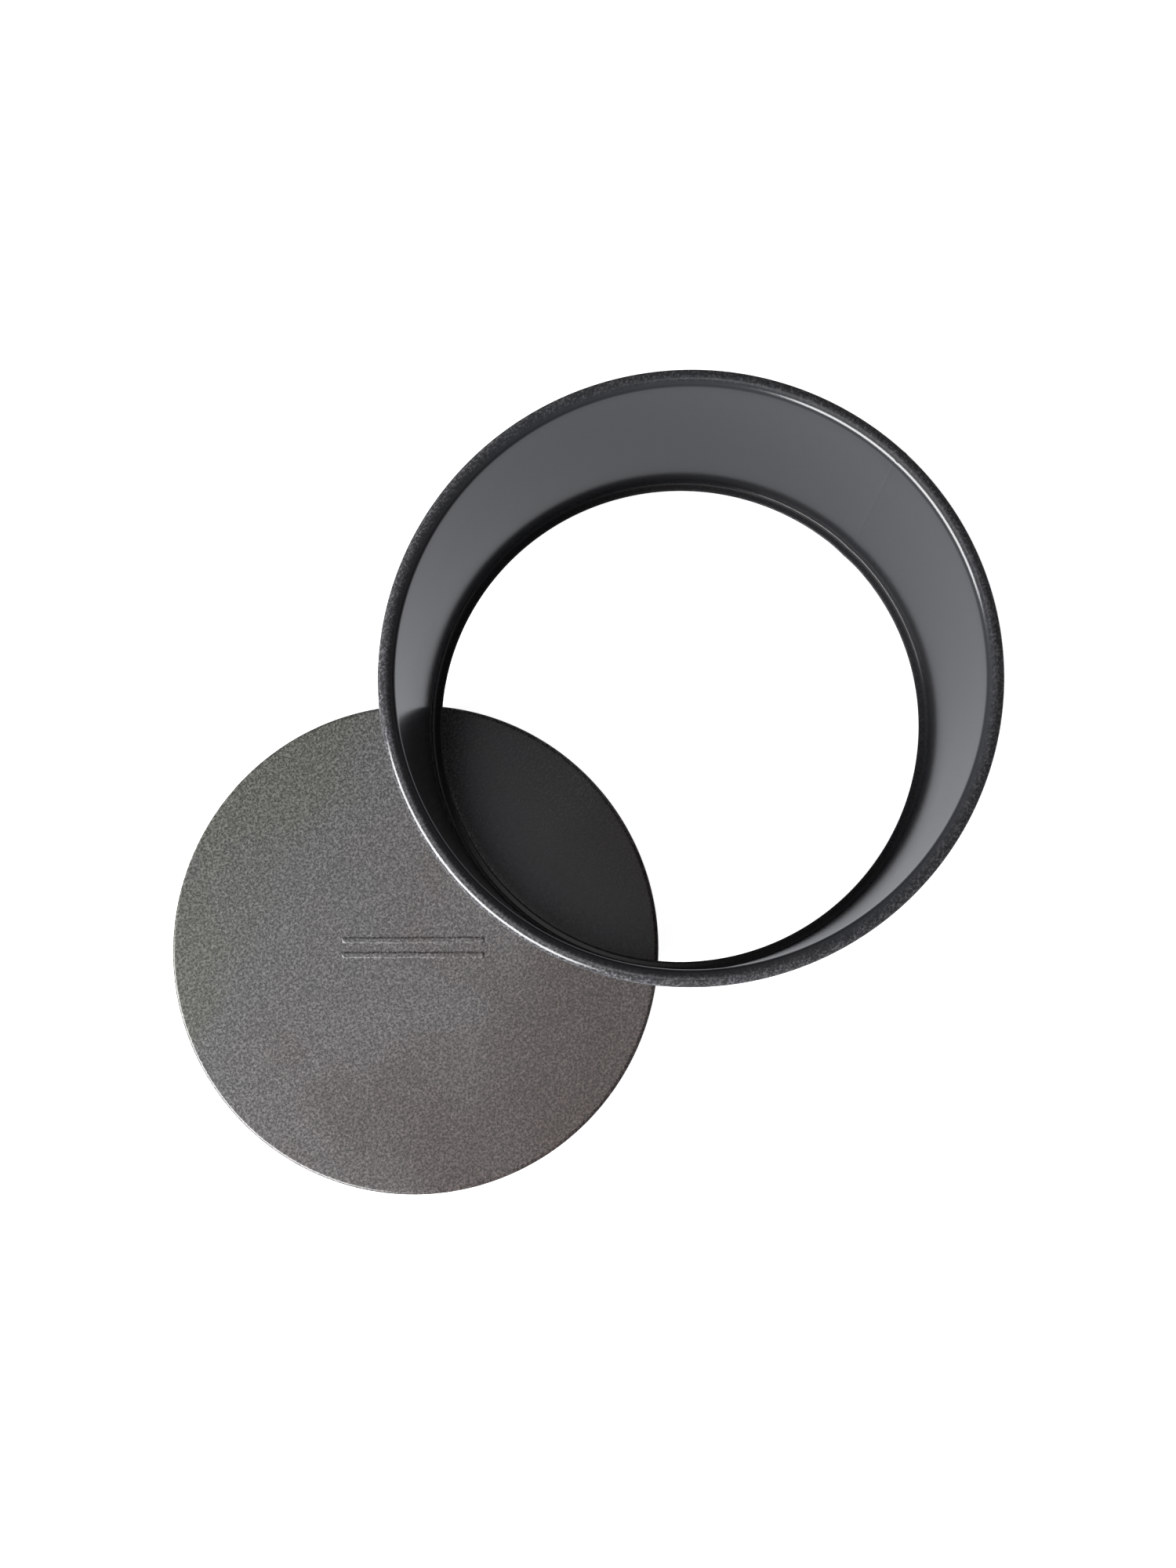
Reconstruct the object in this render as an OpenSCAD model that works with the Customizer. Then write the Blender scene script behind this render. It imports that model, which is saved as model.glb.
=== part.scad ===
// Loose-bottomed round cake tin, taken apart: the base lies flat on the table and the side ring
// leans on the base's edge. Millimetres, +Z up, table at Z = 0, +X from the base's centre towards
// the ring's centre, origin under the middle of the whole layout.

/* [Side ring] */
// Inside diameter of the wall
mouth_d = 200; // [160:1:260]
// Height of the ring from the table to the top of its rolled rim
ring_h = 90; // [60:1:110]
// Thickness of the sheet steel, coating included
sheet_t = 1.0; // [0.8:0.1:1.2]
// Width of the lip turned inwards at the bottom, from the inside of the wall
lip_w = 3.8; // [3:0.1:6]
// Outside radius of the bend between the wall and the lip
bend_r = 2.5; // [2:0.1:3.5]
// Diameter of the rolled rim
rim_d = 6.0; // [5:0.1:8]

/* [Rim wire] */
// Play between the wire and the inside of the rolled rim
wire_gap = 0.1; // [0.05:0.05:0.2]

/* [Loose base] */
// Play between the base and the wall when the base is seated, on the radius
seat_gap = 1.0; // [0.5:0.1:1.5]
// Height of the base's turned-down edge
base_h = 3.0; // [2.5:0.1:5]
// Outside radius of the bend round the base's edge
base_bend_r = 1.6; // [1.2:0.1:2.2]

/* [Raised bars] */
// Height of the two raised bars above the base
bar_h = 0.3; // [0.2:0.1:0.5]
// Length of each bar
bar_l = 58; // [30:1:70]
// Width of each bar
bar_w = 2.4; // [1.5:0.1:4]
// Distance between the bars' centre lines
bar_pitch = 6; // [4:0.5:10]

/* [Layout] */
// Distance between the base's centre and the ring's centre
centres = 140.5; // [120:1:190]
// Turn of the bars on the base, from +X
bar_turn = -40; // [-180:5:180]
// Gap left where the ring rests on the base
rest_gap = 0.25; // [0.2:0.05:0.5]

/* [Hidden] */
$fn = 96;
turn_fn = 240;

wall_r = mouth_d / 2;
rim_r = rim_d / 2;
lip_r = wall_r - lip_w;
// Radius of the rim's centre line: the roll starts tangent to the inside of the wall
rim_line_r = wall_r + rim_r;
rim_line_z = ring_h - rim_r;
// The roll's free edge stops just short of the wall's outside
roll_stop = acos((rim_r - sheet_t - 0.15) / rim_r) - 180;

base_r = wall_r - seat_gap;
// Radius of the ring's flat underside, and of the base's flat top
foot_r = wall_r + sheet_t - bend_r;
flat_r = base_r - base_bend_r;

// The lip rests on the base where the lip's inner edge crosses the edge of the base's flat top
rest_r = lip_r + sheet_t / 2;
rest_x = (centres ^ 2 + flat_r ^ 2 - rest_r ^ 2) / (2 * centres);
// The far side of the ring stands on the table at the bottom of its bend
pivot_x = centres + foot_r;
lean = asin((base_h + rest_gap) / (pivot_x - rest_x));

// Middle of the layout: from the base's near edge to the outermost point of the leaning rim
rim_far_x = pivot_x + (rim_line_r - foot_r) * cos(lean)
    + (rim_line_z - bend_r) * sin(lean) + rim_r;
mid_x = (rim_far_x - base_r) / 2;

coat = [0.31, 0.31, 0.32];
base_coat = [0.38, 0.37, 0.37];
steel = [0.62, 0.62, 0.64];

// A bent sheet's cross-section: an arc of sheet between two angles, under a half turn or over it
module sheet_arc(outer_r, from, to) {
    reach = 2 * outer_r;
    steps = ceil((to - from) / 45);
    fan = [for (i = [0 : steps]) let (a = from + (to - from) * i / steps)
        [reach * cos(a), reach * sin(a)]];
    intersection() {
        difference() {
            circle(outer_r);
            circle(outer_r - sheet_t);
        }
        polygon(concat([[0, 0]], fan));
    }
}

// Cross-section of the ring: lip with a rounded edge, bend, wall and rolled rim, as one strip
module ring_section() {
    bend_x = wall_r + sheet_t - bend_r;
    translate([lip_r + sheet_t / 2, sheet_t / 2])
        circle(sheet_t / 2);
    translate([lip_r + sheet_t / 2, 0])
        square([bend_x - lip_r - sheet_t / 2, sheet_t]);
    translate([bend_x, bend_r])
        sheet_arc(bend_r, -90, 0);
    translate([wall_r, bend_r])
        square([sheet_t, rim_line_z - bend_r]);
    translate([rim_line_r, rim_line_z])
        sheet_arc(rim_r, roll_stop, 180);
}

// Cross-section of the base: flat plate with its edge turned down
module base_section() {
    bend_x = base_r - base_bend_r;
    translate([0, base_h - sheet_t])
        square([bend_x, sheet_t]);
    translate([bend_x, base_h - base_bend_r])
        sheet_arc(base_bend_r, 0, 90);
    translate([base_r - sheet_t, 0])
        square([sheet_t, base_h - base_bend_r]);
}

// Stands the ring beside the base, tipped about the bend that touches the table
module leaning() {
    translate([pivot_x - mid_x, 0, bend_r])
        rotate([0, lean, 0])
            translate([centres - pivot_x, 0, -bend_r])
                children();
}

// Two plain raised bars with round ends
module raised_bars() {
    reach = bar_l / 2 - bar_w / 2;
    tall = sheet_t / 2 + bar_h;
    for (side = [-1, 1])
        rotate([0, 0, bar_turn])
            translate([0, side * bar_pitch / 2, base_h - sheet_t / 2]) {
                translate([-reach, -bar_w / 2, 0])
                    cube([2 * reach, bar_w, tall]);
                for (end = [-reach, reach])
                    translate([end, 0, 0])
                        cylinder(d = bar_w, h = tall);
            }
}

module side_ring() {
    color(coat)
        leaning()
            rotate_extrude($fn = turn_fn)
                ring_section();
}

module rim_wire() {
    color(steel)
        leaning()
            rotate_extrude($fn = turn_fn)
                translate([rim_line_r, rim_line_z])
                    circle(rim_r - sheet_t - wire_gap);
}

module loose_base() {
    color(base_coat)
        translate([-mid_x, 0, 0]) {
            rotate_extrude($fn = turn_fn)
                base_section();
            raised_bars();
        }
}

side_ring();
rim_wire();
loose_base();
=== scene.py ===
import math

import bmesh
import bpy
from mathutils import Matrix, Vector, geometry


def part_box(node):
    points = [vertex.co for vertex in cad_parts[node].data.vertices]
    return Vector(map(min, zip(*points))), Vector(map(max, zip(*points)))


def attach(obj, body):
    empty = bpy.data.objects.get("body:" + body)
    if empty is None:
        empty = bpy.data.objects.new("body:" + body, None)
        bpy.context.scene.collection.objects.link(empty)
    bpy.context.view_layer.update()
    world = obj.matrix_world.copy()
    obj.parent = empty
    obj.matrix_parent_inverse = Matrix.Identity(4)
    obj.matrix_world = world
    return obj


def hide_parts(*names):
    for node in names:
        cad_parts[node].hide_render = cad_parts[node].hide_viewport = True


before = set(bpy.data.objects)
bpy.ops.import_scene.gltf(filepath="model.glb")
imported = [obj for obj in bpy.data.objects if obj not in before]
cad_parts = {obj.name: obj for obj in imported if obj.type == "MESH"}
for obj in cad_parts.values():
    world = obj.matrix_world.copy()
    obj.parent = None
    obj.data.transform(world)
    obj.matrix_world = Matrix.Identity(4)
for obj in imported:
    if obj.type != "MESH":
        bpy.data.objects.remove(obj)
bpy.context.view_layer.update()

MM = 0.001

# The tin's sizes in millimetres, as in the CAD model.
SHEET = 1.0
WALL_R = 100.0
LIP_R = 96.2
BEND_R = 2.5
RIM_R = 3.0
RIM_LINE_R = WALL_R + RIM_R
RING_H = 90.0
RIM_LINE_Z = RING_H - RIM_R
ROLL_STOP = math.acos((RIM_R - SHEET - 0.15) / RIM_R) - math.pi
BASE_R = 99.0
BASE_H = 3.0
BASE_BEND_R = 1.6
REST_GAP = 0.25
BAR_H = 0.3
BAR_PITCH = 6.0
BAR_TURN = math.radians(-40)

# The bars' shoulders, and the patch of fine mesh that carries the bars.
BAR_END = 27.8
BAR_FOOT = 1.35
BAR_SHOULDER = 0.7
PATCH_HALF_X = 30.5
PATCH_HALF_Y = 5.5
PATCH_CELLS = (244, 44)

# The ring's welded seam, which only the visual model has.
SEAM = math.radians(5.5)
SEAM_HALF = math.radians(3.0)
SEAM_FLAT = 0.18
SEAM_FLAT_HALF = 5.0
WELD_H = 0.10
WELD_HALF = 0.55

TURNS = 480
ROLL_STEPS = 56
# The coat is smooth for this many steps of the roll, and fades to grainy over the next ones.
GRAIN_START = 8
GRAIN_FADE = 16

# Where the base and the ring are: the base's box gives its centre, the ring's box where it stands.
base_low, base_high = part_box("loose_base")
ring_low, ring_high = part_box("side_ring")
base_x = (base_low.x + base_high.x) / 2 / MM
foot_r = WALL_R + SHEET - BEND_R


def ring_layout():
    """The ring's lean and the place of the bend that touches the table, from the far side of its box."""
    pivot_x = ring_high.x / MM - (RIM_LINE_R + RIM_R - foot_r)
    lean = 0.0
    for _ in range(20):
        centres = pivot_x - foot_r - base_x
        flat_r = BASE_R - BASE_BEND_R
        rest_r = LIP_R + SHEET / 2
        rest_x = (centres ** 2 + flat_r ** 2 - rest_r ** 2) / (2 * centres)
        lean = math.asin((BASE_H + REST_GAP) / (centres + foot_r - rest_x))
        reach = (RIM_LINE_R - foot_r) * math.cos(lean) + (RIM_LINE_Z - BEND_R) * math.sin(lean)
        pivot_x = ring_high.x / MM - RIM_R - reach
    return pivot_x, lean


pivot_x, lean = ring_layout()
ring_place = (
    Matrix.Translation((pivot_x, 0, BEND_R))
    @ Matrix.Rotation(lean, 4, "Y")
    @ Matrix.Translation((-foot_r, 0, -BEND_R))
)
base_place = Matrix.Translation((base_x, 0, 0))


def arc(cx, cz, r, start, stop, steps):
    """Points on an arc of a cross-section, both ends included."""
    points = []
    for i in range(steps + 1):
        a = start + (stop - start) * i / steps
        points.append((cx + r * math.cos(a), cz + r * math.sin(a)))
    return points


def line(p, q, steps):
    """Points on a straight stretch, both ends left out."""
    return [(p[0] + (q[0] - p[0]) * i / steps, p[1] + (q[1] - p[1]) * i / steps) for i in range(1, steps)]


def new_piece(name, bm, place, material):
    """A mesh object in the row frame, in metres, from a mesh made in the part's own millimetres."""
    bmesh.ops.recalc_face_normals(bm, faces=bm.faces)
    mesh = bpy.data.meshes.new(name)
    bm.to_mesh(mesh)
    bm.free()
    mesh.transform(Matrix.Scale(MM, 4) @ place)
    mesh.shade_smooth()
    mesh.materials.append(material)
    piece = bpy.data.objects.new(name, mesh)
    bpy.context.scene.collection.objects.link(piece)
    return piece


# ---------------------------------------------------------------- materials

def nodes_of(name):
    material = bpy.data.materials.new(name)
    material.use_nodes = True
    tree = material.node_tree
    tree.nodes.clear()
    out = tree.nodes.new("ShaderNodeOutputMaterial")
    shader = tree.nodes.new("ShaderNodeBsdfPrincipled")
    tree.links.new(shader.outputs["BSDF"], out.inputs["Surface"])
    coords = tree.nodes.new("ShaderNodeTexCoord")
    return material, tree, shader, coords.outputs["Object"]


def noise(tree, where, scale, detail, rough=0.5):
    node = tree.nodes.new("ShaderNodeTexNoise")
    node.inputs["Scale"].default_value = scale
    node.inputs["Detail"].default_value = detail
    node.inputs["Roughness"].default_value = rough
    tree.links.new(where, node.inputs["Vector"])
    return node.outputs["Fac"]


def ramp(tree, fac, stops):
    node = tree.nodes.new("ShaderNodeValToRGB")
    node.color_ramp.elements[0].position = stops[0][0]
    node.color_ramp.elements[0].color = (*stops[0][1], 1)
    node.color_ramp.elements[1].position = stops[-1][0]
    node.color_ramp.elements[1].color = (*stops[-1][1], 1)
    for at, colour in stops[1:-1]:
        node.color_ramp.elements.new(at).color = (*colour, 1)
    tree.links.new(fac, node.inputs["Fac"])
    return node.outputs["Color"]


def spread(tree, fac, low, high, to_low, to_high):
    node = tree.nodes.new("ShaderNodeMapRange")
    node.inputs["From Min"].default_value = low
    node.inputs["From Max"].default_value = high
    node.inputs["To Min"].default_value = to_low
    node.inputs["To Max"].default_value = to_high
    tree.links.new(fac, node.inputs["Value"])
    return node.outputs["Result"]


def blend(tree, kind, fac, a, b):
    node = tree.nodes.new("ShaderNodeMix")
    node.data_type = "RGBA"
    node.blend_type = kind
    for socket, value in ((node.inputs["Factor"], fac), (node.inputs["A"], a), (node.inputs["B"], b)):
        if isinstance(value, (int, float)):
            socket.default_value = value
        elif isinstance(value, tuple):
            socket.default_value = (*value, 1)
        else:
            tree.links.new(value, socket)
    return node.outputs["Result"]


def combine(tree, a, b, kind="MULTIPLY"):
    node = tree.nodes.new("ShaderNodeMath")
    node.operation = kind
    for socket, value in ((node.inputs[0], a), (node.inputs[1], b)):
        if isinstance(value, (int, float)):
            socket.default_value = value
        else:
            tree.links.new(value, socket)
    return node.outputs["Value"]


def bump(tree, height, strength, distance, before=None):
    node = tree.nodes.new("ShaderNodeBump")
    if isinstance(strength, (int, float)):
        node.inputs["Strength"].default_value = strength
    else:
        tree.links.new(strength, node.inputs["Strength"])
    node.inputs["Distance"].default_value = distance
    tree.links.new(height, node.inputs["Height"])
    if before:
        tree.links.new(before, node.inputs["Normal"])
    return node.outputs["Normal"]


def coating(name, shades, smooth, tints_and_painted_shade, painted_shade_drift, rough, grain_from):
    """Dark non-stick coating: cloudy tint, fine metallic speckle and orange-peel bump. Noise scales are per metre.

    shades are the dark, middle and light tones of the speckle, smooth the colour where there is none (None for a
    coat that is grainy all over), and tints the ramp for the slow change of tone: a random cloudy tone, plus
    painted shade with a painted warm reflection that grows along the direction drift (none where drift is zero).
    rough is the grainy coat's lowest and highest roughness. grain_from names the mesh's attribute that says where
    the coat is grainy (1) or smooth (0), or None where it is all grainy.
    """
    material, tree, shader, where = nodes_of(name)
    cloud = noise(tree, where, 17, 3, 0.55)
    # Painted shade with a painted warm reflection: the position along drift pushes the tone towards the ramp's
    # last stops, so one side of the part is painted darker and browner.
    along = tree.nodes.new("ShaderNodeVectorMath")
    along.operation = "DOT_PRODUCT"
    along.inputs[1].default_value = painted_shade_drift
    tree.links.new(where, along.inputs[0])
    tone_and_painted_shade = combine(tree, combine(tree, cloud, 0.4), combine(tree, along.outputs["Value"], 0.3, "ADD"), "ADD")
    tint_and_painted_shade = ramp(tree, tone_and_painted_shade, tints_and_painted_shade)
    speckle = noise(tree, where, 950, 2, 0.6)
    fleck = noise(tree, where, 1700, 1, 0.5)
    mixed = combine(tree, combine(tree, speckle, 0.6), combine(tree, fleck, 0.4), "ADD")
    if grain_from:
        mask = tree.nodes.new("ShaderNodeAttribute")
        mask.attribute_name = grain_from
        grain = mask.outputs["Fac"]
    else:
        grain = None
    contrast = spread(tree, mixed, 0.38, 0.62, 0.0, 1.0)
    shade = ramp(tree, contrast, [(0.0, shades[0]), (0.5, shades[1]), (1.0, shades[2])])
    if grain:
        shade = blend(tree, "MIX", grain, smooth, shade)
    colour = blend(tree, "MULTIPLY", 1.0, shade, tint_and_painted_shade)
    tree.links.new(colour, shader.inputs["Base Color"])
    rough_fine = spread(tree, mixed, 0.38, 0.62, rough[0], rough[1])
    rough_slow = spread(tree, cloud, 0.3, 0.7, 0.17, 0.21)
    if grain:
        pick = tree.nodes.new("ShaderNodeMix")
        pick.data_type = "FLOAT"
        tree.links.new(grain, pick.inputs["Factor"])
        tree.links.new(rough_slow, pick.inputs["A"])
        tree.links.new(rough_fine, pick.inputs["B"])
        tree.links.new(pick.outputs["Result"], shader.inputs["Roughness"])
    else:
        tree.links.new(rough_fine, shader.inputs["Roughness"])
    strength = combine(tree, combine(tree, grain, 0.16), 0.01, "ADD") if grain else 0.28
    normal = bump(tree, mixed, strength, 0.00012)
    normal = bump(tree, noise(tree, where, 60, 2), 0.05, 0.0006, normal)
    tree.links.new(normal, shader.inputs["Normal"])
    shader.inputs["Metallic"].default_value = 0.0
    shader.inputs["IOR"].default_value = 1.5
    return material


ring_coat = coating(
    "ring_non_stick",
    ((0.020, 0.020, 0.022), (0.038, 0.038, 0.041), (0.108, 0.108, 0.115)),
    (0.020, 0.021, 0.0235),
    [(0.30, (0.92, 0.98, 1.0)), (0.5, (1.0, 1.0, 1.0)), (0.72, (1.0, 0.96, 1.0))],
    (0.0, 0.0, 0.0),
    (0.13, 0.21),
    "grain",
)
# The base's tints and drift hold painted shade with a painted warm reflection. On top of the cloudy random tone,
# the tone runs along drift into the last two darker, browner stops, so the base is painted darker and browner
# towards +X and -Y, where the ring stands.
base_coat = coating(
    "base_non_stick",
    ((0.036, 0.036, 0.036), (0.062, 0.061, 0.061), (0.165, 0.163, 0.163)),
    None,
    [
        (0.28, (0.90, 0.92, 0.82)),
        (0.36, (0.92, 0.94, 0.96)),
        (0.455, (0.95, 0.90, 0.90)),
        (0.56, (0.70, 0.61, 0.59)),
        (0.66, (0.60, 0.49, 0.46)),
    ],
    (0.6, -2.0, 0.0),
    (0.24, 0.36),
    None,
)


def wire_steel():
    """Drawn wire: grey steel with fine streaks and a little scale."""
    material, tree, shader, where = nodes_of("drawn_steel_wire")
    streaks = noise(tree, where, 420, 4, 0.6)
    colour = ramp(tree, streaks, [(0.3, (0.33, 0.32, 0.31)), (0.7, (0.58, 0.57, 0.56))])
    tree.links.new(colour, shader.inputs["Base Color"])
    tree.links.new(spread(tree, streaks, 0.3, 0.7, 0.28, 0.45), shader.inputs["Roughness"])
    tree.links.new(bump(tree, streaks, 0.3, 0.0001), shader.inputs["Normal"])
    shader.inputs["Metallic"].default_value = 1.0
    return material


# ---------------------------------------------------------------- side ring

def ring_profile():
    """The ring's cross-section as one closed strip of sheet, and how grainy the coat is at each point."""
    bend_x = foot_r
    inner_bend = BEND_R - SHEET
    points = []

    def add(stretch, grain):
        points.extend((x, z, grain) for x, z in stretch)

    add(arc(LIP_R + SHEET / 2, SHEET / 2, SHEET / 2, 1.5 * math.pi, 0.5 * math.pi, 10), 0.25)
    add(line((LIP_R + SHEET / 2, SHEET), (bend_x, SHEET), 4), 0.2)
    add(arc(bend_x, BEND_R, inner_bend, -0.5 * math.pi, 0, 10), 0.1)
    add(line((WALL_R, BEND_R), (WALL_R, RIM_LINE_Z), 24), 0.0)
    roll = arc(RIM_LINE_R, RIM_LINE_Z, RIM_R, math.pi, ROLL_STOP, ROLL_STEPS)
    for i, (x, z) in enumerate(roll):
        points.append((x, z, min(1.0, max(0.0, (i - GRAIN_START) / GRAIN_FADE))))
    roll = arc(RIM_LINE_R, RIM_LINE_Z, RIM_R - SHEET, ROLL_STOP, math.pi, 40)
    add(roll, 0.6)
    add(line((WALL_R + SHEET, RIM_LINE_Z), (WALL_R + SHEET, BEND_R), 24), 1.0)
    add(arc(bend_x, BEND_R, BEND_R, 0, -0.5 * math.pi, 12), 0.8)
    add(line((bend_x, 0), (LIP_R + SHEET / 2, 0), 4), 0.6)
    return points


def around(fine, coarse):
    """Angles for a turned mesh: coarse all round, fine at the welded seam."""
    angles = [SEAM - SEAM_HALF + 2 * SEAM_HALF * i / fine for i in range(fine)]
    rest = 2 * math.pi - 2 * SEAM_HALF
    angles += [SEAM + SEAM_HALF + rest * i / coarse for i in range(coarse)]
    return angles


def seam_shift(angle, z):
    """How far the welded seam moves the sheet: a slight flat across it and a thin raised weld line."""
    along = (angle - SEAM) * WALL_R
    below_roll = min(1.0, max(0.0, (RIM_LINE_Z - 2 - z) / 4))
    flat = -SEAM_FLAT * math.exp(-((along / SEAM_FLAT_HALF) ** 2)) * below_roll
    weld = WELD_H * math.exp(-((along / WELD_HALF) ** 2))
    return flat, weld


def make_ring():
    profile = ring_profile()
    angles = around(48, TURNS)
    bm = bmesh.new()
    grain = bm.verts.layers.float.new("grain")
    count = len(profile)
    # Outward direction of the sheet at each point of the cross-section, for the weld line
    outward = []
    for i in range(count):
        (x0, z0, _), (x1, z1, _) = profile[i - 1], profile[(i + 1) % count]
        length = math.hypot(x1 - x0, z1 - z0)
        outward.append((-(z1 - z0) / length, (x1 - x0) / length))
    rows = []
    for angle in angles:
        c, s = math.cos(angle), math.sin(angle)
        row = []
        for (x, z, g), (nx, nz) in zip(profile, outward):
            flat, weld = seam_shift(angle, z)
            # No weld line inside the roll, on its top or on the underside, where it would leave the CAD box
            inside = math.hypot(x - RIM_LINE_R, z - RIM_LINE_Z) < RIM_R - SHEET + 0.05
            if inside or z > RING_H - 0.6 or z < 0.05:
                weld = 0.0
            r = x + flat + nx * weld
            v = bm.verts.new((r * c, r * s, z + nz * weld))
            v[grain] = g
            row.append(v)
        rows.append(row)
    for a in range(len(rows)):
        near, far = rows[a], rows[(a + 1) % len(rows)]
        for i in range(count):
            j = (i + 1) % count
            bm.faces.new((near[i], near[j], far[j], far[i]))
    return new_piece("non_stick_ring", bm, ring_place, ring_coat)


# ---------------------------------------------------------------- loose base

def bar_height(x, y):
    """Height of the two pressed bars at a point of the base: flat tops, soft shoulders, round ends."""
    best = 0.0
    for side in (-BAR_PITCH / 2, BAR_PITCH / 2):
        ends = max(abs(x) - BAR_END, 0.0)
        away = math.hypot(ends, y - side)
        t = min(1.0, max(0.0, (BAR_FOOT - away) / BAR_SHOULDER))
        best = max(best, t * t * (3 - 2 * t) * BAR_H)
    return best


def plate(bm, rim, z):
    """Fills one side of the base from its edge loop to a fine grid that carries the pressed bars."""
    half_x, half_y = PATCH_HALF_X, PATCH_HALF_Y
    nx, ny = PATCH_CELLS
    c, s = math.cos(BAR_TURN), math.sin(BAR_TURN)
    grid = []
    for j in range(ny + 1):
        row = []
        for i in range(nx + 1):
            x = -half_x + 2 * half_x * i / nx
            y = -half_y + 2 * half_y * j / ny
            row.append(bm.verts.new((x * c - y * s, x * s + y * c, z + bar_height(x, y))))
        grid.append(row)
    for j in range(ny):
        for i in range(nx):
            bm.faces.new((grid[j][i], grid[j][i + 1], grid[j + 1][i + 1], grid[j + 1][i]))
    loop = grid[0][:-1] + [row[-1] for row in grid[:-1]] + grid[-1][:0:-1] + [row[0] for row in grid[:0:-1]]
    middle = [bm.verts.new((v.co.x * 0.55, v.co.y * 0.55, z)) for v in rim[::8]]
    verts = list(rim) + middle + loop
    flat = [Vector((v.co.x, v.co.y)) for v in verts]
    a, b = len(rim), len(rim) + len(middle)
    edges = [(i, (i + 1) % a) for i in range(a)]
    edges += [(b + i, b + (i + 1) % len(loop)) for i in range(len(loop))]
    _, _, faces, origin, _, _ = geometry.delaunay_2d_cdt(flat, edges, [], 0, 1e-6)
    for face in faces:
        ids = [origin[i][0] for i in face]
        middle_of = sum((Vector(verts[i].co[:2]) for i in ids), Vector((0, 0))) / len(ids)
        x = middle_of.x * c + middle_of.y * s
        y = -middle_of.x * s + middle_of.y * c
        if abs(x) < half_x and abs(y) < half_y:
            continue
        bm.faces.new([verts[i] for i in ids])


def make_base():
    bend_x = BASE_R - BASE_BEND_R
    profile = [(bend_x - 0.6, BASE_H)]
    profile += arc(bend_x, BASE_H - BASE_BEND_R, BASE_BEND_R, 0.5 * math.pi, 0, 14)
    profile += line((BASE_R, BASE_H - BASE_BEND_R), (BASE_R, 0.2), 3)
    profile += arc(BASE_R - 0.2, 0.2, 0.2, 0, -0.5 * math.pi, 5)
    profile += arc(BASE_R - SHEET + 0.2, 0.2, 0.2, 1.5 * math.pi, math.pi, 5)
    profile += line((BASE_R - SHEET, 0.2), (BASE_R - SHEET, BASE_H - BASE_BEND_R), 3)
    profile += arc(bend_x, BASE_H - BASE_BEND_R, BASE_BEND_R - SHEET, 0, 0.5 * math.pi, 8)
    profile += [(bend_x - 0.6, BASE_H - SHEET)]
    bm = bmesh.new()
    rows = []
    for a in range(TURNS):
        angle = 2 * math.pi * a / TURNS
        c, s = math.cos(angle), math.sin(angle)
        rows.append([bm.verts.new((x * c, x * s, z)) for x, z in profile])
    for a in range(TURNS):
        near, far = rows[a], rows[(a + 1) % TURNS]
        for i in range(len(profile) - 1):
            bm.faces.new((near[i], near[i + 1], far[i + 1], far[i]))
    plate(bm, [row[0] for row in rows], BASE_H)
    plate(bm, [row[-1] for row in rows], BASE_H - SHEET)
    return new_piece("non_stick_base", bm, base_place, base_coat)


ring = make_ring()
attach(ring, "ring")
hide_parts("side_ring")

base = make_base()
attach(base, "base")
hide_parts("loose_base")

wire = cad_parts["rim_wire"]
wire.data.materials.clear()
wire.data.materials.append(wire_steel())
wire.data.shade_smooth()

# ---------------------------------------------------------------- floor, light, camera

bpy.ops.mesh.primitive_plane_add(size=8, location=(0, 0, 0))
floor = bpy.context.object
floor.name = "floor"
floor_material, tree, shader, where = nodes_of("pale_floor")
shader.inputs["Base Color"].default_value = (0.6, 0.6, 0.6, 1)
shader.inputs["Roughness"].default_value = 0.9
shader.inputs["Emission Color"].default_value = (1, 1, 1, 1)
shader.inputs["Emission Strength"].default_value = 0.93
floor.data.materials.append(floor_material)
# The tin is dark and glossy: what it mirrors below it is the studio's dim light, not the bright floor.
floor.visible_glossy = False

bpy.ops.mesh.primitive_cylinder_add(vertices=96, radius=4, depth=6, location=(0, 0, 2.9), end_fill_type="NOTHING")
backdrop = bpy.context.object
backdrop.name = "backdrop"
backdrop_material, tree, shader, where = nodes_of("pale_backdrop")
shader.inputs["Base Color"].default_value = (0.0, 0.0, 0.0, 1)
shader.inputs["Specular IOR Level"].default_value = 0.0
shader.inputs["Emission Color"].default_value = (1, 1, 1, 1)
shader.inputs["Emission Strength"].default_value = 0.85
backdrop.data.materials.append(backdrop_material)
backdrop.visible_glossy = False
backdrop.visible_diffuse = False
backdrop.visible_shadow = False


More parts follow.
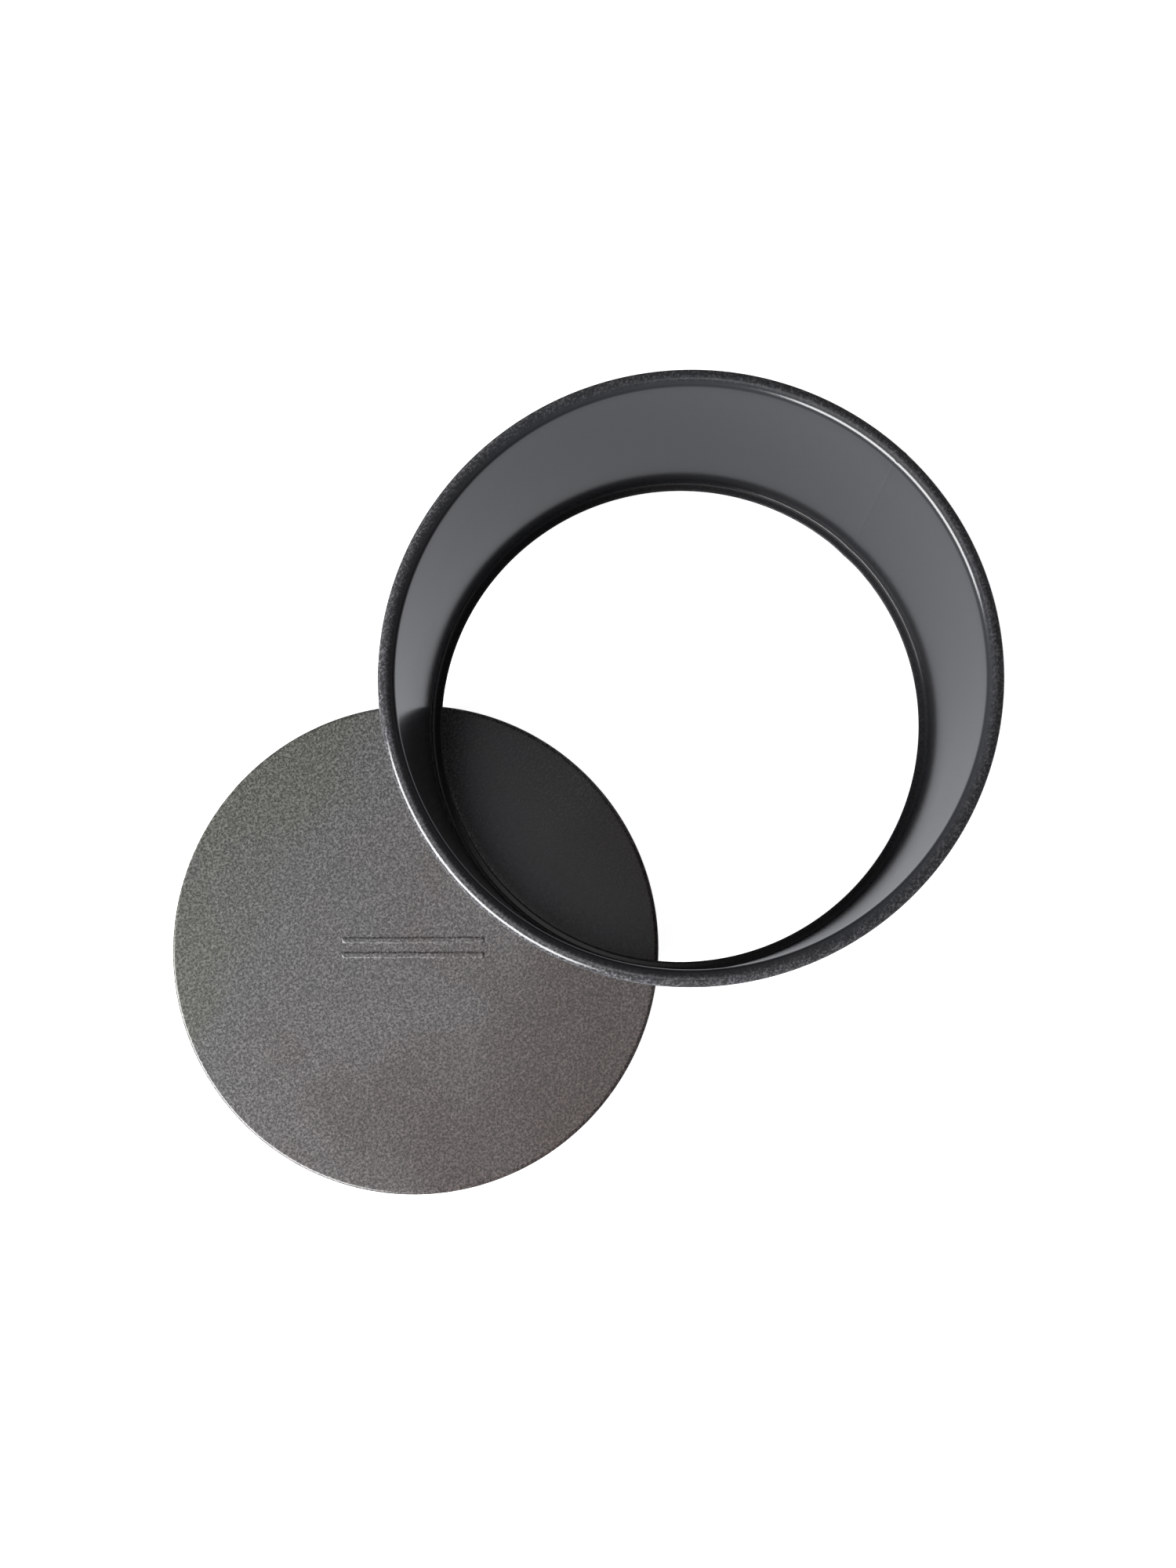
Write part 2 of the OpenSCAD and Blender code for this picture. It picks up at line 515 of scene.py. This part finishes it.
def area_light(name, azimuth, elevation, distance, width, height, power, aim=(0.0, 0.0, 0.04)):
    """A soft box that looks at the tin from a direction in the row frame."""
    data = bpy.data.lights.new(name, "AREA")
    data.shape = "RECTANGLE"
    data.size = width
    data.size_y = height
    data.energy = power
    lamp = bpy.data.objects.new(name, data)
    a, e = math.radians(azimuth), math.radians(elevation)
    aim = Vector(aim)
    lamp.location = aim + distance * Vector((math.cos(a) * math.cos(e), math.sin(a) * math.cos(e), math.sin(e)))
    lamp.rotation_euler = (aim - lamp.location).to_track_quat("-Z", "Y").to_euler()
    bpy.context.scene.collection.objects.link(lamp)
    return lamp


area_light("window_light", 175, 22, 1.5, 1.9, 0.8, 96)
area_light("top_light", 176, 75, 1.6, 1.0, 1.0, 4)

world = bpy.data.worlds.new("studio")
world.use_nodes = True
tree = world.node_tree
direction = tree.nodes.new("ShaderNodeTexCoord")
split = tree.nodes.new("ShaderNodeSeparateXYZ")
tree.links.new(direction.outputs["Generated"], split.inputs["Vector"])
height = spread(tree, split.outputs["Z"], -1.0, 1.0, 0.0, 1.0)
sky = ramp(tree, height, [
    (0.0, (0.58, 0.59, 0.62)),
    (0.10, (0.54, 0.55, 0.58)),
    (0.27, (0.10, 0.10, 0.105)),
    (0.5, (0.04, 0.04, 0.043)),
    (0.54, (0.22, 0.22, 0.225)),
    (0.70, (0.19, 0.19, 0.19)),
    (0.88, (0.07, 0.07, 0.07)),
    (1.0, (0.045, 0.042, 0.038)),
])
tree.links.new(sky, tree.nodes["Background"].inputs["Color"])
tree.nodes["Background"].inputs["Strength"].default_value = 1.0
bpy.context.scene.world = world

# The camera looks almost straight down from beside the ring; its image is turned against the row frame.
camera_data = bpy.data.cameras.new("camera")
camera_data.sensor_fit = "VERTICAL"
camera_data.sensor_height = 36.0
camera_data.lens = 36.0 * 0.84320
camera_data.shift_y = 0.06964
camera_data.clip_start = 0.01
camera = bpy.data.objects.new("camera", camera_data)
turn = (
    Matrix.Rotation(math.radians(-3.0633), 4, "X")
    @ Matrix.Rotation(math.radians(-2.5718), 4, "Y")
    @ Matrix.Rotation(math.radians(40.0955), 4, "Z")
)
camera.matrix_world = (
    Matrix.Translation(((base_x + 68.082) * MM, -65.926 * MM, 533.794 * MM)) @ turn.transposed()
)
bpy.context.scene.collection.objects.link(camera)
bpy.context.scene.camera = camera

bpy.context.scene.view_settings.view_transform = "Standard"
